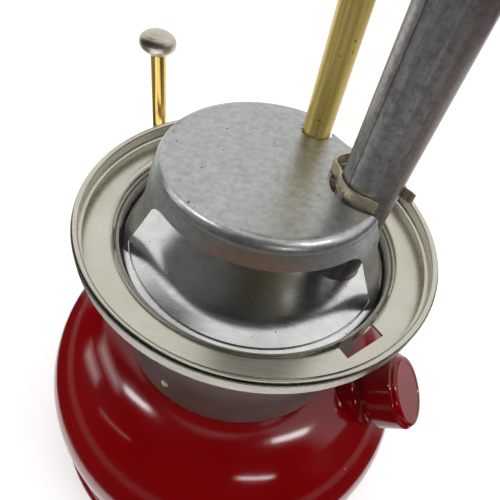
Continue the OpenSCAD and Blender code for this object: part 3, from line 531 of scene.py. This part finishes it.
# Pieces that show the tube lights and the window
GLAZED = bpy.data.collections.new("pieces_that_show_the_tube_lights")
for name in ("fount_shell", "fount_bottom", "filler_neck", "filler_cap", "heat_shield"):
    GLAZED.objects.link(NODES[name])
# Each lamp: its two ends and its width in metres, and its radiance
for name, start, end, width, radiance in (
        ("tube_light_left", (-0.3556, -0.1001, 0.5063), (-0.2355, -0.1456, 0.563), 0.045, 19),
        ("tube_light_right", (0.2214, -0.1593, 0.5652), (0.3485, -0.0974, 0.5113), 0.045, 20),
        ("tube_light_back", (-0.2086, 0.0533, 0.58), (-0.1714, 0.0397, 0.5925), 0.04, 7),
        ("tube_light_front", (0.1602, -0.4708, 0.3894), (0.3075, -0.4248, 0.3474), 0.022, 18),
        ("window_pane_near", (-0.493, 0.0416, 0.377), (-0.3984, -0.1086, 0.4715), 0.05, 2.2),
        ("window_glow_near", (-0.505, 0.061, 0.365), (-0.386, -0.128, 0.484), 0.12, 1.5),
        ("window_pane_far", (-0.5737, 0.0015, 0.2246), (-0.524, -0.1233, 0.3125), 0.05, 2.2),
        ("window_glow_far", (-0.58, 0.0175, 0.2135), (-0.5175, -0.139, 0.3237), 0.12, 1.5),
        ("window_sill", (-0.5015, -0.2754, 0.2428), (-0.3509, -0.401, 0.3327), 0.02, 1.8)):
    lamp(name, start, end, width, radiance).light_linking.receiver_collection = GLAZED
# Reflector cards, each with the place that it faces and the pieces that show it
for name, start, end, width, radiance, aim, shown_by in (
        ("rod_card", (-0.0535, 0.0178, 0.124), (-0.0285, 0.0262, 0.124), 0.032, 1.4,
         (-0.0425, 0.039, 0.133), ("plunger_rod", "pump_knob")),
        ("tube_card", (-0.25, -0.38, 0.45), (0.28, -0.38, 0.45), 0.3, 1.3,
         (0.015, 0.01, 0.15), ("generator_tube", "air_tube", "tube_clip")),
        ("lip_card", (-0.22, -0.2, 0.004), (0.22, -0.2, 0.004), 0.3, 0.14,
         (0.0, -0.2, 0.2), ("globe_rest",))):
    seen_by = bpy.data.collections.new(name)
    for node in shown_by:
        seen_by.objects.link(NODES[node])
    lamp(name, start, end, width, radiance, aim).light_linking.receiver_collection = seen_by
# Plain light from both sides and above, not seen in reflections
for name, start, end, width, radiance in (
        ("side_fill_left", (-0.8, -0.5, 0.3), (-0.8, 0.1, 0.3), 0.5, 3.3),
        ("side_fill_right", (0.8, -0.5, 0.3), (0.8, 0.1, 0.3), 0.5, 4.0),
        ("overhead_softbox", (-0.45, 0.3, 1.15), (0.65, 0.3, 1.15), 0.9, 1.3)):
    lamp(name, start, end, width, radiance).visible_glossy = False

# Pale floor with the lantern's shadow; it glows a little, and passes into plain white further out
FLOOR_HALF, FLOOR_GLOW, SWEEP_START, SWEEP_FULL, PAPER_MM = 3.0, 0.36, 0.3, 0.8, 40
floor_sheet = bmesh.new()
bmesh.ops.create_grid(floor_sheet, x_segments=1, y_segments=1, size=FLOOR_HALF)
floor = built("floor", floor_sheet)
pale, pale_tree, pale_shader, pale_place = blank_finish(
    "pale_studio_floor", {"Roughness": 0.9, "Specular IOR Level": 0.2, "Emission Color": WHITE})
paper = add(pale_tree, "ShaderNodeTexNoise", {"Scale": per_m(PAPER_MM), "Detail": 3.0},
            {"Vector": pale_place})
tint = add(pale_tree, "ShaderNodeMix", {MIX_A: linear("#f4f4f2"), MIX_B: linear("#f7f7f6")},
           {0: (paper, 0)}, **COLOURS)
pale_tree.links.new(tint.outputs[MIX_OUT], pale_shader.inputs["Base Color"])
seen = direct_rays(pale_tree)
glow = add(pale_tree, "ShaderNodeMath", {1: FLOOR_GLOW}, {0: (seen, 0)}, operation="MULTIPLY")
pale_tree.links.new(glow.outputs[0], pale_shader.inputs["Emission Strength"])
away = add(pale_tree, "ShaderNodeVectorMath", None, {0: pale_place}, operation="LENGTH")
far = add(pale_tree, "ShaderNodeMapRange", {1: SWEEP_START, 2: SWEEP_FULL}, {0: (away, "Value")},
          interpolation_type="SMOOTHSTEP")
fade = add(pale_tree, "ShaderNodeMath", None, {0: (far, 0), 1: (seen, 0)}, operation="MULTIPLY")
plain = add(pale_tree, "ShaderNodeEmission", {"Color": WHITE, "Strength": 1.0})
sweep = add(pale_tree, "ShaderNodeMixShader", None,
            {0: (fade, 0), 1: (pale_shader, 0), 2: (plain, 0)})
pale_out = next(node for node in pale_tree.nodes if node.type == "OUTPUT_MATERIAL")
pale_tree.links.new(sweep.outputs[0], pale_out.inputs["Surface"])
floor.data.materials.append(pale)

# Black cloth, as dense as its cover says, that darkens what the metal shows of the room
FELT, felt_tree, felt_shader, _ = blank_finish(
    "black_felt", {"Base Color": linear("#141312"), "Roughness": 1.0})
density = add(felt_tree, "ShaderNodeAttribute", attribute_name="cover")
felt_tree.links.new(density.outputs["Fac"], felt_shader.inputs["Alpha"])
flag("front_curtain", curtain_point, curtain_cover)
flag("front_mat", mat_point, mat_cover)

# White where it is seen, and a weaker fill on the lantern
FILL_STRENGTH = 0.5
world = bpy.data.worlds.new("white_studio")
bpy.context.scene.world = world
world.use_nodes = True
sky = world.node_tree
sky.nodes.clear()
fill = add(sky, "ShaderNodeBackground", {"Color": linear("#f5f6f7"), "Strength": FILL_STRENGTH})
white = add(sky, "ShaderNodeBackground", {"Color": WHITE, "Strength": 1.0})
either = add(sky, "ShaderNodeMixShader", None,
             {0: (direct_rays(sky), 0), 1: (fill, 0), 2: (white, 0)})
add(sky, "ShaderNodeOutputWorld", None, {"Surface": (either, 0)})

# Camera as solved from the circles of the lip, flange, plate and drum
CAMERA_AT, PITCH, ROLL = (-0.00115, -0.0853, 0.19945), math.radians(42.07), math.radians(12.68)
LENS_MM, SENSOR_MM = 29.24, 36.0
lens = bpy.data.cameras.new("camera")
lens.lens, lens.sensor_width = LENS_MM, SENSOR_MM
lens.clip_start, lens.clip_end = 0.01, 20.0
camera = bpy.data.objects.new("camera", lens)
camera.matrix_world = (Matrix.Translation(CAMERA_AT)
                       @ Matrix.Rotation(PITCH, 4, "X") @ Matrix.Rotation(ROLL, 4, "Z"))
bpy.context.scene.collection.objects.link(camera)
bpy.context.scene.camera = camera
bpy.context.scene.view_settings.view_transform = "Standard"
